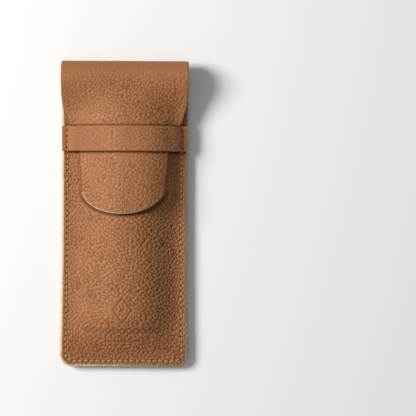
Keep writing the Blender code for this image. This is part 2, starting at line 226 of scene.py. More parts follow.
def flap_height(x, y):
    """Inner face of the flap's and tongue's lining."""
    edge = FLAP_LIFT * smooth((np.abs(x) - FLAP_LIFT_X) / FLAP_LIFT_WIDTH)
    edge = edge * smooth((y - SHOULDER_END_Y + 1.5) / 6.0)
    tip = TIP_LIFT * smooth((TIP_LIFT_LENGTH - y) / TIP_LIFT_LENGTH)
    resting = over_front(x, y, SKIN + CLEARANCE + edge + tip + spring(x, y))
    settled = smooth((FOLD_Y - y) / FLAP_SETTLE)
    level = 2 * FOLD_RADIUS - SKIN
    return resting + (level - resting) * (1 - settled)


def band_height(x, y):
    low, high = BAND_CLIMB
    over_tongue = smooth((high - np.abs(x)) / (high - low))
    return over_front(x, y, (SKIN + CLEARANCE) * (1 + over_tongue) + spring(x, y) * over_tongue)


def flap_sides(y):
    """Left and right side of the flap and tongue at y."""
    below = np.clip((SHOULDER_Y - y) / (SHOULDER_Y - SHOULDER_END_Y), 0.0, 1.0)
    past_corner = np.clip(SHOULDER_END_Y + SHOULDER_CORNER - y, 0.0, SHOULDER_CORNER)
    corner = SHOULDER_CORNER - np.sqrt(SHOULDER_CORNER**2 - past_corner**2)
    shoulder = half_width(y) - SHOULDER_DRAW * below**SHOULDER_POWER - corner

    tip_start = TONGUE_TIP_Y + TONGUE_TIP_LENGTH
    share = (y - tip_start) / (SHOULDER_END_Y - tip_start)
    straight = TONGUE_TIP_HALF + (TONGUE_ROOT_HALF - TONGUE_TIP_HALF) * share
    round_end = np.clip((tip_start - y) / TONGUE_TIP_LENGTH, 0.0, 1.0)
    tongue = np.where(share > 0, straight, TONGUE_TIP_HALF * np.sqrt(1 - round_end**2))
    half = np.where(y >= SHOULDER_END_Y, shoulder, tongue)
    drift = TONGUE_DRIFT * (SHOULDER_END_Y - y) / (SHOULDER_END_Y - TONGUE_TIP_Y)
    middle = np.where(y >= SHOULDER_END_Y, 0.0, -TONGUE_SKEW - drift)
    return middle - half, middle + half


# Surfaces: the inner face of each lining, over a flat pattern (x, path)


def front_surface(x, y):
    return np.stack([x, y, front_height(x, y)], axis=-1)


def band_surface(x, y):
    return np.stack([x, y, band_height(x, y)], axis=-1)


def hide_y(path):
    """Y of the flat stretches of the long hide, by the path from the fold's middle towards the tongue."""
    return FOLD_Y - np.clip(np.abs(path) - QUARTER, 0.0, None)


def hide_surface(x, path):
    """Back panel, fold, flap and tongue: one hide, with the path measured round the outside of its fold."""
    y = hide_y(path)
    flat = np.where(path > 0, flap_height(x, y), back_height(x, y))
    angle = np.clip(path, -QUARTER, QUARTER) / FOLD_RADIUS
    inner = FOLD_RADIUS - SKIN
    in_fold = np.abs(path) < QUARTER
    z = np.where(in_fold, FOLD_RADIUS + inner * np.sin(angle), flat)
    return np.stack([x, np.where(in_fold, FOLD_Y + inner * np.cos(angle), y), z], axis=-1)


def lifted(surface, side, x, v):
    """Points on a surface and its outward normals there."""
    step = 0.03
    points = surface(x, v)
    along_x = surface(x + step, v) - surface(x - step, v)
    along_v = surface(x, v + step) - surface(x, v - step)
    normals = side * np.cross(along_x, along_v)
    return points, normals / np.linalg.norm(normals, axis=-1, keepdims=True)


# Meshes and objects


def mesh_of(name, points, faces, materials):
    """A mesh of points in millimetres, with materials."""
    mesh = bpy.data.meshes.new(name)
    mesh.from_pydata(np.array(points) * MM, [], faces)
    for look in materials:
        mesh.materials.append(look)
    return mesh


def placed(name, data):
    made = bpy.data.objects.new(name, data)
    bpy.context.scene.collection.objects.link(made)
    return made


# Flat patterns


def resampled(points, spacing):
    """Evenly spaced points along a line, both ends included."""
    lengths = np.hypot(*np.diff(points, axis=0).T)
    along = np.hstack([0.0, np.cumsum(lengths)])
    places = np.linspace(0.0, along[-1], max(2, int(round(along[-1] / spacing)) + 1))
    return np.stack([np.interp(places, along, points[:, axis]) for axis in (0, 1)], axis=1)


def cut_row(left, right, v):
    """Points along a cut across the hide, the same for the pieces on both its sides."""
    insets = np.array([0.0, *EDGE_RINGS])
    between = np.linspace(left + EDGE_RINGS[-1], right - EDGE_RINGS[-1], CUT_POINTS)[1:-1]
    x = np.hstack([left + insets, between, right - insets[::-1]])
    return np.stack([x, np.full_like(x, v)], axis=1)


def pattern(sides, low, high, cut_low, cut_high):
    """The outline of a flat piece between two ends, and which of its points lie on a raw edge."""
    v = low + (high - low) * (1 - np.cos(np.linspace(0, math.pi, OUTLINE_STEPS))) / 2
    left, right = sides(v)
    left_side = resampled(np.stack([left, v], axis=1), OUTLINE_SPACING)
    right_side = resampled(np.stack([right, v], axis=1), OUTLINE_SPACING)
    rows = []
    for cut, place in ((cut_low, 0), (cut_high, -1)):
        ends = left_side[place, 0], right_side[place, 0]
        if cut:
            rows.append(cut_row(*ends, v[place]))
        else:
            row = np.array([[ends[0], v[place]], [ends[1], v[place]]])
            rows.append(resampled(row, OUTLINE_SPACING))
    low_row, high_row = rows
    # anticlockwise from the low left corner
    parts = [low_row[:-1], right_side[:-1], high_row[:0:-1], left_side[:0:-1]]
    flags = not cut_low, True, not cut_high, True
    free = np.hstack([np.full(len(part), flag) for part, flag in zip(parts, flags)])
    points = np.vstack(parts)
    if cut_low:
        free[0] = True
    if cut_high:
        free[len(parts[0]) + len(parts[1])] = True
        free[len(parts[0]) + len(parts[1]) + len(parts[2])] = True
    apart = np.hypot(*(points - np.roll(points, 1, axis=0)).T) > SAME_POINT
    return points[apart], free[apart]


def tree_of(points):
    tree = kdtree.KDTree(len(points))
    for index, (x, y) in enumerate(points):
        tree.insert((x, y, 0.0), index)
    tree.balance()
    return tree


def distances(tree, points):
    return np.array([tree.find((x, y, 0.0))[2] for x, y in points]) if len(points) else np.zeros(0)


def edge_tree(outline, free):
    """A search tree over the raw edges, close enough together to measure from."""
    ahead = np.roll(outline, -1, axis=0)
    both = free & np.roll(free, -1)
    dense = [outline[free]]
    for share in np.arange(1, 6) / 6:
        dense.append((outline + (ahead - outline) * share)[both])
    return tree_of(np.vstack(dense))


def filled(outline, free, sides, spacing, details, rings):
    """Points of a flat piece: its outline, rows along the raw edges, details, then an even filling."""
    tree = edge_tree(outline, free)
    ahead, behind = np.roll(outline, -1, axis=0), np.roll(outline, 1, axis=0)
    tangent = ahead - behind
    inward = np.stack([-tangent[:, 1], tangent[:, 0]], axis=1)
    inward /= np.linalg.norm(inward, axis=1, keepdims=True)
    low, high = outline[:, 1].min(), outline[:, 1].max()
    kept = [outline]
    for inset in rings:
        ring = (outline + inward * inset)[free]
        ring = ring[(ring[:, 1] > low) & (ring[:, 1] < high)]
        ring = ring[distances(tree, ring) > inset - SAME_POINT]
        ring = ring[distances(tree_of(np.vstack(kept)), ring) > RING_GAP]
        kept.append(ring)
    if len(details):
        _, first_in_cell = np.unique(np.round(details / DETAIL_GAP), axis=0, return_index=True)
        details = details[first_in_cell]
        details = details[distances(tree_of(np.vstack(kept)), details) > DETAIL_GAP]
        kept.append(details)
    rows = np.arange(low + spacing / 2, high - spacing / 4, spacing * 0.866)
    fill = []
    for count, v in enumerate(rows):
        left, right = (float(side) for side in sides(np.array(v)))
        first = math.ceil(left / spacing) * spacing + (count % 2) * spacing / 2
        x = np.arange(first, right, spacing)
        fill.append(np.stack([x, np.full_like(x, v)], axis=1))
    fill = np.vstack(fill)
    fill = fill[distances(tree_of(np.vstack(kept)), fill) > FILL_GAP * spacing]
    if rings:
        fill = fill[distances(tree, fill) > rings[-1] - 0.1]
    kept.append(fill)
    points = np.vstack(kept)
    return points, distances(tree, points)


def triangles(points, outline_count):
    """Triangles of a flat piece, inside its outline."""
    corners = [Vector(p) for p in points]
    made = delaunay_2d_cdt(corners, [], [list(range(outline_count))], 1, 1e-6)
    if len(made[0]) != len(points):
        raise ValueError("the pattern's points are too close together")
    return np.array(made[2])


# Skins


def edge_drop(inset, rings, x, v, bare):
    """How far a raw edge is worn and pared down, by the distance from it."""
    uneven = 1 + 0.3 * wander(x + 300, v + 300, 6.0, EDGE_SEED)
    pared = PARING * np.clip(1 - inset / rings[0], 0.0, 1.0) * uneven * (0.3 + 0.7 * bare)
    rounded = EDGE_ROUNDING * np.clip(1 - inset / rings[-1], 0.0, 1.0) ** 2
    return pared + rounded


def shade_on_raw_edge(x):
    """Painted shade on the raw edges, from none on the left to most on the right."""
    return RAW_EDGE_SHADE * smooth((x - RAW_EDGE_SHADE_START_X) / RAW_EDGE_SHADE_LENGTH)


def all_bare(x, v):
    return np.ones(len(x))


def none_bare(x, v):
    return np.zeros(len(x))


def skin(
    name, surface, side, sides, ends, offsets, relief, spacing, materials, cuts=(False, False), details=(),
    rings=EDGE_RINGS, bare=all_bare
):
    """A closed skin: a fine face with relief, pared raw edges, walls and a coarse hidden face.

    offsets are the distances of the fine and of the hidden face from the surface. relief gives the depth and
    the darkness of the fine face. bare is 1 where the raw edge is undyed. materials are for face and edge."""
    low, high = ends
    face_offset, hidden_offset = offsets
    inward = math.copysign(1.0, hidden_offset - face_offset)
    outline, free = pattern(sides, low, high, *cuts)
    count = len(outline)
    fine, inset = filled(outline, free, sides, spacing, np.array(details), rings)
    coarse, _ = filled(outline, free, sides, HIDDEN_SPACING, details=(), rings=())

    points, normals = lifted(surface, side, fine[:, 0], fine[:, 1])
    depth, dark = relief(fine[:, 0], fine[:, 1], inset)
    is_bare = bare(fine[:, 0], fine[:, 1])
    bevel = rings[0] + 0.03
    # the bare bevel takes painted shade, most on the right
    dark = np.where((inset <= bevel) & (is_bare > 0.5), shade_on_raw_edge(fine[:, 0]), dark)
    depth = depth * smooth(inset / rings[-1]) + edge_drop(inset, rings, fine[:, 0], fine[:, 1], is_bare)
    depth = np.minimum(depth, abs(hidden_offset - face_offset) - LEAST_THICKNESS)
    face_points = points + normals * (face_offset + inward * depth)[:, None]
    hidden, hidden_normals = lifted(surface, side, coarse[:, 0], coarse[:, 1])
    hidden_points = hidden + hidden_normals * hidden_offset

    face_cells = triangles(fine, count)
    hidden_cells = triangles(coarse, count)
    first = face_cells[0]
    facing = np.cross(points[first[1]] - points[first[0]], points[first[2]] - points[first[0]])
    outward = facing @ normals[first[0]] * -inward > 0
    if not outward:
        face_cells = face_cells[:, ::-1]
    else:
        hidden_cells = hidden_cells[:, ::-1]
    shift = len(fine)
    rim = np.arange(count)
    ahead = np.roll(rim, -1)
    if outward:
        walls = np.stack([ahead, rim, rim + shift, ahead + shift], axis=1)
    else:
        walls = np.stack([rim, ahead, ahead + shift, rim + shift], axis=1)
    faces = face_cells.tolist() + (hidden_cells + shift).tolist() + walls.tolist()

    mesh = mesh_of(name, np.vstack([face_points, hidden_points]), faces, materials)
    on_bevel = (inset[face_cells].max(axis=1) <= bevel) & (is_bare[face_cells].min(axis=1) > 0.5)
    slots = np.hstack([on_bevel, np.ones(len(hidden_cells) + len(walls), bool)]).astype(np.int32)
    mesh.polygons.foreach_set("material_index", slots)
    # pit: the grain's darkness, plus painted shade in the holes, along the shadow lines, over the fold and
    # bottom, and on the raw edges
    pits = mesh.attributes.new("pit", "FLOAT", "POINT")
    pits.data.foreach_set("value", np.hstack([dark, np.zeros(len(hidden_points))]).astype(np.float32))
    mesh.shade_smooth()
    ends_of = np.zeros(len(mesh.edges) * 2, np.int32)
    mesh.edges.foreach_get("vertices", ends_of)
    ends_of = ends_of.reshape(-1, 2)
    on_rim = ((ends_of < count).all(axis=1)) | ((ends_of >= shift) & (ends_of < shift + count)).all(axis=1)
    sharp = mesh.attributes.new("sharp_edge", "BOOLEAN", "EDGE")
    sharp.data.foreach_set("value", on_rim)
    mesh.update()
    return placed(name, mesh)


# Grain and marks


def pebbles(a, b, seed):
    """Depth and darkness of pebbled grain, both from 0 to 1."""
    turned_a = a * math.cos(GRAIN_TURN) + b * math.sin(GRAIN_TURN)
    turned_b = b * math.cos(GRAIN_TURN) - a * math.sin(GRAIN_TURN)
    a = turned_a + ROW_WANDER * wander(turned_a + 50, turned_b + 50, ROW_WANDER_SIZE, seed + 1)
    b = turned_b + ROW_WANDER * wander(turned_a + 90, turned_b + 90, ROW_WANDER_SIZE, seed + 2)
    table = np.random.default_rng(seed).uniform(0.0, 1.0, (128, 128, 2))
    i, j = np.floor(a / PEBBLE).astype(int), np.floor(b / PEBBLE).astype(int)
    found = []
    for di in (-1, 0, 1):
        for dj in (-1, 0, 1):
            jitter = table[(i + di) % 128, (j + dj) % 128]
            across = (i + di + jitter[..., 0]) * PEBBLE - a
            along = (j + dj + jitter[..., 1]) * PEBBLE - b
            found.append(np.hypot(across, along))
    nearest, second, third = np.sort(np.stack(found), axis=0)[:3]
    valley = 1 - smooth((second - nearest) / VALLEY_WIDTH)
    pit = 1 - smooth((third - nearest) / PIT_WIDTH)
    dome = np.clip(nearest / (CROWN_SHARE * PEBBLE), 0.0, 1.0) ** 2
    return 0.40 * valley + 0.35 * pit + 0.25 * dome, 0.35 * valley + 0.65 * pit


def grained(x, v, seed, strength):
    """Depth in millimetres and darkness of the grain, uneven over the hide."""
    depth, dark = pebbles(x, v, seed)
    uneven = 1 + PATCH * wander(x + 400, v + 400, PATCH_SIZE, seed + 3)
    strength = strength * (uneven + SMALL_PATCH * wander(x, v, SMALL_PATCH_SIZE, seed + 4))
    return GRAIN_DEPTH * depth * strength, dark * np.clip(strength, 0.0, 1.2)


def seam_line():
    """The stitching line: down the left side, round the bottom and up the right side."""
    low_y = -LENGTH / 2
    y = np.linspace(THREAD_TOP_Y, low_y + CORNER_RADIUS, 600)
    left = np.stack([SEAM_INSET - half_width(y), y], axis=1)
    turns = np.radians(np.linspace(0, 90, 60))
    radius = CORNER_RADIUS - SEAM_INSET
    centre_x = half_width(y[-1]) - CORNER_RADIUS
    corner = np.stack(
        [-centre_x - radius * np.cos(turns), low_y + CORNER_RADIUS - radius * np.sin(turns)], axis=1
    )
    half = np.vstack([left, corner[1:]])
    return np.vstack([half, half[::-1] * [-1, 1]])


HOLES = resampled(seam_line(), STITCH_PITCH)
HOLE_TREE = tree_of(HOLES)


def hole_details(keep):
    """Extra points in and around the stitch holes."""
    rings = [HOLES]
    for radius, steps in HOLE_RINGS:
        for step in range(steps):
            turn = 2 * math.pi * step / steps
            rings.append(HOLES + radius * np.array([math.cos(turn), math.sin(turn)]))
    points = np.vstack(rings)
    return points[keep(points)]


def with_seam(depth, dark, x, v, inset):
    """Adds the stitches' furrow and holes along the edge, with painted shade in the holes."""
    furrow = np.exp(-(((inset - SEAM_INSET) / FURROW_WIDTH) ** 2))
    from_hole = np.full(len(x), FAR_OFF)
    near = np.abs(inset - SEAM_INSET) < HOLE_REACH
    from_hole[near] = distances(HOLE_TREE, np.stack([x[near], v[near]], axis=1))
    hole = np.exp(-((from_hole / HOLE_RADIUS) ** 3))
    depth = depth * (1 - 0.4 * furrow) + FURROW_DEPTH * furrow + HOLE_DEPTH * hole
    return depth, np.maximum(dark * (1 - 0.3 * furrow), HOLE_SHADE * hole)


def mark_lines():
    """The mark's lines as pairs of ends: a lozenge, over a chain of small ones and a rule."""
    wide, tall = LOZENGE
    tips = [(MARK_X + a * wide, MARK_Y + b * tall) for a, b in ((1, 0), (0, 1), (-1, 0), (0, -1))]
    lines = [(tips[k], tips[(k + 1) % 4]) for k in range(4)]
    link = 2 * CHAIN_HALF / CHAIN_LINKS
    for count in range(CHAIN_LINKS):
        left = MARK_X - CHAIN_HALF + count * link
        for up in (CHAIN_HEIGHT, -CHAIN_HEIGHT):
            top = left + link / 2, CHAIN_Y + up
            lines += [((left, CHAIN_Y), top), (top, (left + link, CHAIN_Y))]
    lines.append(((MARK_X - RULE_HALF, RULE_Y), (MARK_X + RULE_HALF, RULE_Y)))
    return np.array(lines)


def from_mark(x, y):
    """Distance from the mark's lines, and from its centre dot."""
    nearest = np.full(len(x), FAR_OFF)
    places = np.stack([x, y], axis=1)
    for start, end in mark_lines():
        along = np.clip((places - start) @ (end - start) / ((end - start) @ (end - start)), 0, 1)
        nearest = np.minimum(nearest, np.hypot(*(places - start - along[:, None] * (end - start)).T))
    return nearest, np.hypot(x - MARK_X, y - MARK_Y)


def mark_details():
    points = []
    for start, end in mark_lines():
        line = resampled(np.array([start, end]), MARK_SPACING)
        across = np.array([start[1] - end[1], end[0] - start[0]]) / np.hypot(*(end - start))
        points += [line, line + MARK_ROW * across, line - MARK_ROW * across]
    return np.vstack(points)


def from_tongue(x, y):
    """Distance from the outline of the tongue that rests on the front panel."""
    heights = np.linspace(BAND_LOW_Y, TONGUE_TIP_Y, 400)
    left, right = flap_sides(heights)
    outline = np.stack([np.hstack([left, right[::-1]]), np.hstack([heights, heights[::-1]])], axis=1)
    tree = tree_of(resampled(outline, 0.3))
    near = (y > TONGUE_TIP_Y - 5) & (y < BAND_LOW_Y)
    found = np.full(len(x), FAR_OFF)
    found[near] = distances(tree, np.stack([x, y], axis=1)[near])
    return found


def shaded_below_band(y):
    """Painted shadow just under the band, over a lightly pressed groove."""
    return (1 - smooth((BAND_LOW_Y - y - BAND_SHADOW_WIDTH) / BAND_SHADOW_FADE)) * (y < BAND_LOW_Y + 0.5)


def front_relief(x, y, inset):
    """The front panel: grain that deepens to the right and the bottom, painted shadow lines, painted shade at
    the bottom, seam and mark.
    """
    to_right = smooth((x + 10) / 35) * smooth((20 - y) / 60)
    to_bottom = smooth((-50 - y) / 15)
    on_left = smooth((-x - 12) / 12) * smooth((20 - y) / 30)
    strength = (FRONT_GRAIN + 0.25 * to_right + 0.35 * to_bottom) * (1 - 0.12 * on_left)
    depth, dark = grained(x, y, FRONT_SEED, strength)
    # painted shadow under the band, over a slightly pressed groove
    band_shadow = shaded_below_band(y)
    # painted shadow round the tongue's tip, over a slight groove
    tongue_shadow = 1 - smooth((from_tongue(x, y) - TONGUE_SHADOW_WIDTH) / TONGUE_SHADOW_FADE)
    tongue_shadow = tongue_shadow * (0.35 + 0.65 * smooth((15 - y) / 8))
    # an even tone, plus painted shade at the bottom end
    tone_and_shade = 0.05 + 0.20 * smooth((-60 - y) / 8)
    depth = depth + 0.3 * band_shadow + TONGUE_GROOVE_DEPTH * tongue_shadow
    dark = np.maximum(np.minimum(dark + tone_and_shade, 1.0), SHADOW_LINE_DARK * np.maximum(band_shadow, 0.92 * tongue_shadow))
    depth, dark = with_seam(depth, dark, x, y, inset)

    line, dot = from_mark(x, y)
    stamped_line = 1 - smooth((line - STAMP_WIDTH) / STAMP_FADE)
    stamped_dot = 1 - smooth((dot - DOT_RADIUS) / DOT_FADE)
    pressed = np.maximum(stamped_line, stamped_dot)
    around = np.exp(-((line / 1.2) ** 2))
    rim = STAMP_RIM * np.exp(-(((line - STAMP_RIM_PLACE) / STAMP_RIM_WIDTH) ** 2))
    depth = depth * (1 - 0.8 * pressed) * (1 - 0.55 * around) + STAMP_DEPTH * pressed - rim
    return depth, np.maximum(dark * (1 - 0.6 * around), 0.75 * pressed)


def hide_relief(x, path, inset):
    """The long hide: stretched smooth over the fold, grained on either side and stitched round the back, with
    painted shade over the fold, along the band and on the flap's edges.
    """
    off_fold = smooth((np.abs(path) - 6.0) / 12.0)
    on_left = smooth((5 - x) / 30) * smooth((46 - path) / 20)
    strength = (FOLD_GRAIN + GRAIN_GAIN * off_fold) * (1 - 0.35 * on_left)
    depth, dark = grained(x, path, HIDE_SEED, strength)
    # an even tone, plus painted shade over the fold
    tone_and_shade = 0.04 + 0.28 * smooth((12.0 - np.abs(path)) / 5)
    dark = np.minimum(dark + tone_and_shade, 1.0)
    # painted shadow along both edges of the band
    shadow_above_band = np.exp(-(((hide_y(path) - BAND_HIGH_Y - 0.45) / 0.5) ** 2))
    shadow_beside_band = np.maximum(shadow_above_band, 0.9 * shaded_below_band(hide_y(path))) * (path > QUARTER)
    # the flap's and tongue's edges darkened nearly black: painted shade
    flap_edge_shade = 1 - smooth((inset - FLAP_EDGE_SHADE_WIDTH) / FLAP_EDGE_SHADE_FADE)
    flap_edge_shade = flap_edge_shade * smooth((60 - hide_y(path)) / 8) * (path > QUARTER)
    flap_edge_shade = flap_edge_shade * (1 - hide_bare(x, path))
    depth = depth + 0.45 * shadow_beside_band
    dark = np.maximum(dark, SHADOW_LINE_DARK * np.maximum(shadow_beside_band, flap_edge_shade))
    on_back = path < -QUARTER - FOLD_Y + THREAD_TOP_Y
    if on_back.any():
        seamed = with_seam(depth, dark, x, hide_y(path), inset)
        depth, dark = (np.where(on_back, new, old) for new, old in zip(seamed, (depth, dark)))
    return depth, dark


def band_relief(x, y, inset):
    """The keeper band: plainer on its left, with one crease across it and the seams at its ends."""
    plain = smooth((-4 - x) / 12)
    depth, dark = grained(x + 7.3, y + 3.1, BAND_SEED, BAND_GRAIN - 0.42 * plain)
    dark = np.minimum(dark + 0.05 + 0.27 * plain, 1.0)
    from_crease = x - CREASE_X + 0.25 * wander(x, y + 60, 4.0, CREASE_SEED)
    crease = np.exp(-((from_crease / CREASE_WIDTH) ** 2))
    depth = depth + CREASE_DEPTH * crease
    beside = np.abs(np.abs(x) - (half_width(y) - SEAM_INSET))
    depth, dark = with_seam(depth, dark, x, y, SEAM_INSET + beside)
    # the crease's line is darkened: painted shade
    return depth, np.maximum(dark, 0.5 * crease)


def suede_relief(x, v, inset):
    nap = 0.5 + 0.3 * wander(x, v, 1.9, NAP_SEED) + 0.2 * wander(x, v, 6.0, CLOUD_SEED)
    return NAP_DEPTH * nap, nap


# Materials: colours are linear

TAN, PALE_TAN, FLECK = (0.385, 0.160, 0.060), (0.430, 0.184, 0.072), (0.335, 0.132, 0.046)
# the second colour on the next line is painted shade, nearly black, for the holes and shadow lines
VALLEY, SHADE_BLACK = (0.15, 0.048, 0.014), (0.012, 0.006, 0.003)
RAW_CREAM, RAW_BROWN = (0.74, 0.60, 0.44), (0.50, 0.36, 0.23)
# the second colour on the next line is painted shade for the cut edges
SMUDGE, RAW_EDGE_SHADE_BROWN = (0.42, 0.25, 0.14), (0.20, 0.12, 0.07)
SUEDE, BRUSHED_SUEDE, SUEDE_NAP = (0.70, 0.59, 0.45), (0.58, 0.47, 0.34), (0.45, 0.35, 0.24)
GOLD, DARK_GOLD, THREAD_SOIL = (0.62, 0.36, 0.11), (0.44, 0.22, 0.06), (0.36, 0.17, 0.06)


def material(name):
    made = bpy.data.materials.new(name)
    made.use_nodes = True
    tree = made.node_tree
    return made, tree, tree.nodes["Principled BSDF"]


def node(tree, kind, **settings):
    made = tree.nodes.new(kind)
    for key, value in settings.items():
        if hasattr(made, key):
            setattr(made, key, value)
        else:
            made.inputs[key].default_value = value
    return made


def noise(tree, place, scale, detail, rough=0.5):
    made = node(tree, "ShaderNodeTexNoise", Scale=scale, Detail=detail, Roughness=rough)
    tree.links.new(place.outputs["Object"], made.inputs["Vector"])
    return made.outputs["Fac"]


def ranged(tree, value, low, high, to_low, to_high):
    made = tree.nodes.new("ShaderNodeMapRange")
    for key, number in zip(("From Min", "From Max", "To Min", "To Max"), (low, high, to_low, to_high)):
        made.inputs[key].default_value = number
    tree.links.new(value, made.inputs["Value"])
    return made.outputs["Result"]


def mixed(tree, factor, a, b):
    made = node(tree, "ShaderNodeMix", data_type="RGBA")
    for socket, value in ((made.inputs[0], factor), (made.inputs[6], a), (made.inputs[7], b)):
        if isinstance(value, tuple):
            socket.default_value = (*value, 1.0)
        else:
            tree.links.new(value, socket)
    return made.outputs[2]


def added(tree, a, b):
    made = node(tree, "ShaderNodeMath", operation="ADD")
    for socket, value in zip(made.inputs, (a, b)):
        tree.links.new(value, socket)
    return made.outputs[0]


def from_mesh(tree, name):
    """The value that the mesh itself holds at each point."""
    return node(tree, "ShaderNodeAttribute", attribute_name=name).outputs["Fac"]


def bumped(tree, shader, height, strength, distance):
    made = node(tree, "ShaderNodeBump", Strength=strength, Distance=distance)
    tree.links.new(height, made.inputs["Height"])
    tree.links.new(made.outputs["Normal"], shader.inputs["Normal"])


def tan_leather():
    """Pebbled tan hide: dye gathers dark and rough in the valleys; painted shade turns it nearly black in the
    stitch holes and along the shadow lines.
    """
    made, tree, shader = material("pebbled_tan_leather")
    place = node(tree, "ShaderNodeTexCoord")
    pit = from_mesh(tree, "pit")
    patches = noise(tree, place, 45.0, 3.0)
    flecks = noise(tree, place, 900.0, 3.0, 0.6)
    face = mixed(tree, ranged(tree, patches, 0.3, 0.7, 0.0, 1.0), TAN, PALE_TAN)
    face = mixed(tree, ranged(tree, flecks, 0.3, 0.7, 0.0, 0.35), face, FLECK)
    face = mixed(tree, ranged(tree, pit, 0.0, 1.0, 0.0, 0.78), face, VALLEY)
    # pit values above 1 are painted shade, nearly black
    face = mixed(tree, ranged(tree, pit, 1.05, 1.5, 0.0, 1.0), face, SHADE_BLACK)
    tree.links.new(face, shader.inputs["Base Color"])
    rough = added(tree, ranged(tree, flecks, 0.3, 0.7, 0.50, 0.62), ranged(tree, pit, 0.0, 1.0, 0.0, 0.2))
    tree.links.new(rough, shader.inputs["Roughness"])
    shader.inputs["Specular IOR Level"].default_value = 0.24
    wrinkles = noise(tree, place, 2600.0, 4.0, 0.62)
    bumped(tree, shader, wrinkles, 0.35, 0.00012)
    return made


def raw_edge():
    """The hide's undyed fibrous core, where it is cut, darkened by the mesh's pit value, which there is
    mostly painted shade.
    """
    made, tree, shader = material("raw_hide_edge")
    place = node(tree, "ShaderNodeTexCoord")
    fibres = noise(tree, place, 1800.0, 4.0, 0.7)
    smudges = noise(tree, place, 160.0, 2.0)
    face = mixed(tree, ranged(tree, fibres, 0.3, 0.7, 0.0, 1.0), RAW_CREAM, RAW_BROWN)
    face = mixed(tree, ranged(tree, smudges, 0.35, 0.65, 0.0, 0.45), face, SMUDGE)
    # painted shade from the pit value darkens the cut edge
    face = mixed(tree, ranged(tree, from_mesh(tree, "pit"), 0.0, 1.0, 0.0, 0.7), face, RAW_EDGE_SHADE_BROWN)
    tree.links.new(face, shader.inputs["Base Color"])
    shader.inputs["Roughness"].default_value = 0.85
    bumped(tree, shader, fibres, 0.5, 0.0002)
    return made


def cream_suede():
    """Cream microsuede, with a nap brushed in cloudy patches."""
    made, tree, shader = material("cream_suede_nap")
    place = node(tree, "ShaderNodeTexCoord")
    brushed = noise(tree, place, 120.0, 3.0, 0.6)
    nap = noise(tree, place, 5200.0, 2.0, 0.7)
    face = mixed(tree, ranged(tree, brushed, 0.3, 0.7, 0.0, 1.0), SUEDE, BRUSHED_SUEDE)
    face = mixed(tree, ranged(tree, nap, 0.35, 0.65, 0.0, 0.4), face, SUEDE_NAP)
    tree.links.new(face, shader.inputs["Base Color"])
    shader.inputs["Roughness"].default_value = 0.95
    shader.inputs["Sheen Weight"].default_value = 0.35
    shader.inputs["Specular IOR Level"].default_value = 0.2
    bumped(tree, shader, nap, 0.5, 0.00015)
    return made


def golden_thread():
    """Waxed golden-tan thread."""
    made, tree, shader = material("waxed_golden_thread")
    place = node(tree, "ShaderNodeTexCoord")
    strands = noise(tree, place, 3200.0, 3.0, 0.6)
    smudges = noise(tree, place, 220.0, 2.0)
    face = mixed(tree, ranged(tree, strands, 0.3, 0.7, 0.0, 1.0), GOLD, DARK_GOLD)
    face = mixed(tree, ranged(tree, smudges, 0.4, 0.7, 0.0, 0.6), face, THREAD_SOIL)
    tree.links.new(face, shader.inputs["Base Color"])
    shader.inputs["Roughness"].default_value = 0.5
    shader.inputs["Sheen Weight"].default_value = 0.2
    bumped(tree, shader, strands, 0.4, 0.0001)
    return made


# Pieces


def case_sides(y):
    return -half_width(y), half_width(y)


def hide_sides(path):
    return case_sides(hide_y(path))


def flap_pattern_sides(path):
    return flap_sides(hide_y(path))


def hide_bare(x, path):
    """The hide's bevel is bare round the back, the fold and the tongue's tip, and dyed round the flap; at the
    tip the bare cream stops short of the shaded right end, as painted light.
    """
    lit_part_of_tip = (hide_y(path) < BARE_TIP_Y) & (x < BARE_TIP_X)
    return ((path < BEND_CUT) | lit_part_of_tip).astype(float)


BACK_END = -QUARTER - FOLD_Y - LENGTH / 2
FLAP_END = QUARTER + FOLD_Y - TONGUE_TIP_Y
OUTER = SKIN, LINING + GLUE
INNER = 0.0, LINING


def below_thread_top(points):
    return points[:, 1] < THREAD_TOP_Y + 1


def in_band(points):
    """Whether points are on the band and clear of its cut edges."""
    margin = 0.7
    return (points[:, 1] > BAND_LOW_Y + margin) & (points[:, 1] < BAND_HIGH_Y - margin)


def long_hide(leather, edge, suede):
    """Back, fold, flap and tongue, in leather and in suede, laid round the fold."""
    back_details = hole_details(below_thread_top)
    back_details = np.stack([back_details[:, 0], -QUARTER - FOLD_Y + back_details[:, 1]], axis=1)
    stretches = {
        "back": (hide_sides, (BACK_END, -BEND_CUT), (False, True), BACK_SPACING, back_details),
        "fold": (hide_sides, (-BEND_CUT, BEND_CUT), (True, True), FOLD_SPACING, []),
        "flap": (flap_pattern_sides, (BEND_CUT, FLAP_END), (True, False), FRONT_SPACING, []),
    }
    stands_for = {
        "back": (["back_panel"], ["back_lining"]),
        "fold": (["spine_lower_panel", "spine_upper_panel"], ["spine_lower_lining", "spine_upper_lining"]),
        "flap": (["flap_panel", "flap_tongue"], ["flap_lining", "tongue_lining"]),
    }
    for name, (sides, ends, cuts, spacing, details) in stretches.items():
        outer = skin(
            name + "_leather", hide_surface, -1, sides, ends, OUTER, hide_relief, spacing,
            (leather, edge), cuts, details, bare=hide_bare
        )
        inner = skin(
            name + "_suede", hide_surface, -1, sides, ends, INNER, suede_relief, SUEDE_SPACING,
            (suede, suede), cuts
        )
        for piece, nodes, slot in zip((outer, inner), stands_for[name], ("tan_leather", "cream_suede")):
            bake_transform(piece)
            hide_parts(*nodes)


def finish_piece(piece, slot, *nodes):
    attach(piece, "case")
    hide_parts(*nodes)


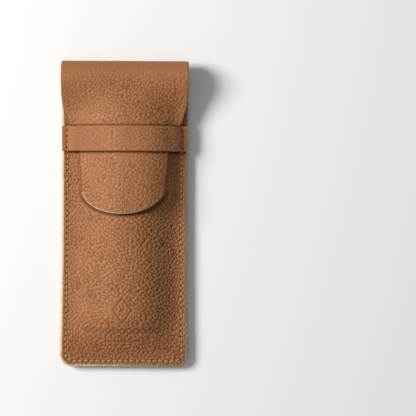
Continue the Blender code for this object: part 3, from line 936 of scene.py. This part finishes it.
def front(leather, edge, suede):
    ends = -LENGTH / 2, MOUTH_Y
    details = np.vstack([hole_details(below_thread_top), mark_details()])
    made = skin(
        "front_leather", front_surface, 1, case_sides, ends, OUTER, front_relief, FRONT_SPACING,
        (leather, edge), details=details, rings=PANEL_RINGS
    )
    finish_piece(made, "tan_leather", "front_panel")
    made = skin(
        "front_suede", front_surface, 1, case_sides, ends, INNER, suede_relief, SUEDE_SPACING, (suede, suede)
    )
    finish_piece(made, "cream_suede", "front_lining")


def band(leather, edge, suede):
    ends = BAND_LOW_Y, BAND_HIGH_Y
    offsets = BAND_SKIN, BAND_LINING + GLUE
    made = skin(
        "band_leather", band_surface, 1, case_sides, ends, offsets, band_relief, BAND_SPACING,
        (leather, edge), details=hole_details(in_band), bare=none_bare
    )
    finish_piece(made, "tan_leather", "keeper_band")
    made = skin(
        "band_suede", band_surface, 1, case_sides, ends, (0.0, BAND_LINING), suede_relief, SUEDE_SPACING,
        (suede, suede)
    )
    finish_piece(made, "cream_suede", "band_lining")


# Stitches


def seam_top(x, y):
    """The outer face that the front stitches lie on: the front panel, or the band across it."""
    on_band = (y > BAND_LOW_Y) & (y < BAND_HIGH_Y)
    plain = front_height(x, y) + SKIN
    strapped = band_height(x, y) + BAND_SKIN
    return np.where(on_band, strapped, plain) - FURROW_DEPTH


def seam_bottom(x, y):
    return back_height(x, y) - SKIN + FURROW_DEPTH


def stitches(name, level, up, thread, seed, node_name):
    """A stitch between each two holes: two twisted plies that dive into the hide at both ends."""
    rng = np.random.default_rng(seed)
    steps, ring_sides = 13, 6
    share = np.linspace(0, 1, steps)
    rise = smooth((share - DIVE_START) / DIVE_LENGTH) * smooth((1 - DIVE_START - share) / DIVE_LENGTH)
    ring = 2 * math.pi * np.arange(ring_sides) / ring_sides
    points, faces = [], []
    for start, end in zip(HOLES[:-1], HOLES[1:]):
        along = (end - start) / np.hypot(*(end - start))
        across = np.array([-along[1], along[0]])
        slant = STITCH_SLANT + SLANT_SPREAD * rng.standard_normal()
        start, end = start - across * slant, end + across * slant
        line = start + (end - start) * share[:, None]
        crest = STITCH_CREST + CREST_SPREAD * rng.standard_normal()
        z = level(line[:, 0], line[:, 1]) + up * (-STITCH_SINK + (STITCH_SINK + crest) * rise)
        twist = share * 2 * math.pi * PLY_TURNS + rng.uniform(0, 2 * math.pi)
        for ply in (0.0, math.pi):
            side = PLY_OFFSET * np.cos(twist + ply)
            high = PLY_OFFSET * np.sin(twist + ply)
            centre = np.column_stack([line + across * side[:, None], z + high])
            tangent = np.gradient(centre, axis=0)
            tangent /= np.linalg.norm(tangent, axis=1, keepdims=True)
            beside = np.cross(tangent, [0.0, 0.0, 1.0])
            beside += np.array([*across, 0.0]) * 1e-6
            beside /= np.linalg.norm(beside, axis=1, keepdims=True)
            above = np.cross(beside, tangent)
            base = len(points) * steps * ring_sides
            tube = centre[:, None, :] + PLY_RADIUS * (
                beside[:, None, :] * np.cos(ring)[:, None] + above[:, None, :] * np.sin(ring)[:, None]
            )
            points.append(tube.reshape(-1, 3))
            for step in range(steps - 1):
                for k in range(ring_sides):
                    a, b = base + step * ring_sides + k, base + step * ring_sides + (k + 1) % ring_sides
                    faces.append((a, b, b + ring_sides, a + ring_sides))
            last = base + (steps - 1) * ring_sides
            faces.append(tuple(range(base + ring_sides - 1, base - 1, -1)))
            faces.append(tuple(range(last, last + ring_sides)))
    mesh = mesh_of(name, np.vstack(points), faces, [thread])
    mesh.shade_smooth()
    finish_piece(placed(name, mesh), "golden_thread", node_name)


def divider(suede):
    """The web between the pens: a soft-edged fin on a foot that is glued to the back lining."""
    base = SKIN + GLUE
    low_y, high_y = DIVIDER_Y
    y = np.linspace(low_y, high_y, 80)
    top = np.minimum(DIVIDER_TOP_Z, crown_height(y) - DIVIDER_HEADROOM)
    top = top - DIVIDER_DIP * smooth(1 - (high_y - y) / DIVIDER_DIP_LENGTH)
    top = top + DIVIDER_WAVE * wander(y, y + 30, 9.0, DIVIDER_TOP_SEED)
    web, foot = DIVIDER_THICKNESS / 2, FOOT_WIDTH / 2
    turns = np.radians(np.linspace(0, 180, 9))
    # the section's right side: the foot, its worn edge and the fillet up to the web
    right = [(foot, 0.0), (foot, 0.45), (foot - 0.4, FOOT_THICKNESS)]
    right += [(web + 0.9, FOOT_THICKNESS), (web + 0.25, FOOT_THICKNESS + 0.3), (web, FOOT_THICKNESS + 1.0)]
    corners = []
    for place, high in zip(y, top):
        lean = DIVIDER_LEAN * wander(np.array(place), np.array(5.0), 21.0, DIVIDER_LEAN_SEED)
        crest = [(web * math.cos(t), high - base - web + web * math.sin(t)) for t in turns]
        left = [(-x, z) for x, z in reversed(right)]
        for x, z in right + crest + left:
            corners.append((x + lean * z / 10, place, base + z))
    count = len(corners) // len(y)
    faces = [tuple(range(count)), tuple(range(len(corners) - 1, len(corners) - 1 - count, -1))]
    for row in range(len(y) - 1):
        for k in range(count):
            a, b = row * count + k, row * count + (k + 1) % count
            faces.append((b, a, a + count, b + count))
    mesh = mesh_of("divider_web", corners, faces, [suede])
    mesh.shade_smooth()
    mesh.set_sharp_from_angle(angle=math.radians(50))
    finish_piece(placed("divider_web", mesh), "cream_suede", "divider")


# Stage, light and camera

CAMERA_X, CAMERA_Y, CAMERA_Z, CAMERA_ROLL = 43.8, 3.3, 1500.0, 0.006
FRAME_WIDTH, FRAME_Z = 218.2, 5.0  # the view is this wide, in millimetres, at this height
KEY_DIRECTION = np.array([-0.73, 0.22, 0.65])
KEY_DISTANCE, KEY_SIZE, KEY_POWER = 1.2, 0.55, 16.7
FILL_STRENGTH = 0.30
FLOOR_REACH, FLOOR_Z = 3000.0, -0.03  # just under the case, so that no faces coincide


def stage():
    made, _, shader = material("pale_floor")
    shader.inputs["Base Color"].default_value = (0.9, 0.9, 0.9, 1.0)
    shader.inputs["Roughness"].default_value = 0.9
    shader.inputs["Specular IOR Level"].default_value = 0.1
    signs = ((-1, -1), (1, -1), (1, 1), (-1, 1))
    corners = [(a * FLOOR_REACH, b * FLOOR_REACH, FLOOR_Z) for a, b in signs]
    floor = placed("floor", mesh_of("floor", corners, [(0, 1, 2, 3)], [made]))


def lights():
    key = bpy.data.lights.new("key", "AREA")
    key.shape = "DISK"
    key.size = KEY_SIZE
    key.energy = KEY_POWER
    key.color = (1.0, 0.985, 0.96)
    lamp = placed("key", key)
    direction = KEY_DIRECTION / np.linalg.norm(KEY_DIRECTION)
    lamp.location = direction * KEY_DISTANCE
    lamp.rotation_euler = Vector(direction).to_track_quat("Z", "Y").to_euler()
    world = bpy.data.worlds.new("studio")
    world.use_nodes = True
    background = world.node_tree.nodes["Background"]
    background.inputs["Color"].default_value = (0.97, 0.98, 1.0, 1.0)
    background.inputs["Strength"].default_value = FILL_STRENGTH
    bpy.context.scene.world = world


def camera():
    data = bpy.data.cameras.new("camera")
    data.sensor_width = 36.0
    data.lens = data.sensor_width * (CAMERA_Z - FRAME_Z) / FRAME_WIDTH
    data.clip_start, data.clip_end = 0.01, 10.0
    made = placed("camera", data)
    made.location = np.array([CAMERA_X, CAMERA_Y, CAMERA_Z]) * MM
    made.rotation_euler.z = CAMERA_ROLL
    bpy.context.scene.camera = made


def main():
    bpy.context.scene.view_settings.view_transform = "Standard"
    leather, edge, suede, thread = tan_leather(), raw_edge(), cream_suede(), golden_thread()
    long_hide(leather, edge, suede)
    front(leather, edge, suede)
    band(leather, edge, suede)
    stitches("needle_stitches", seam_top, 1, thread, NEEDLE_SEED, "front_seam_thread")
    stitches("bobbin_stitches", seam_bottom, -1, thread, BOBBIN_SEED, "back_seam_thread")
    divider(suede)
    stage()
    lights()
    camera()
    bpy.context.view_layer.update()


main()
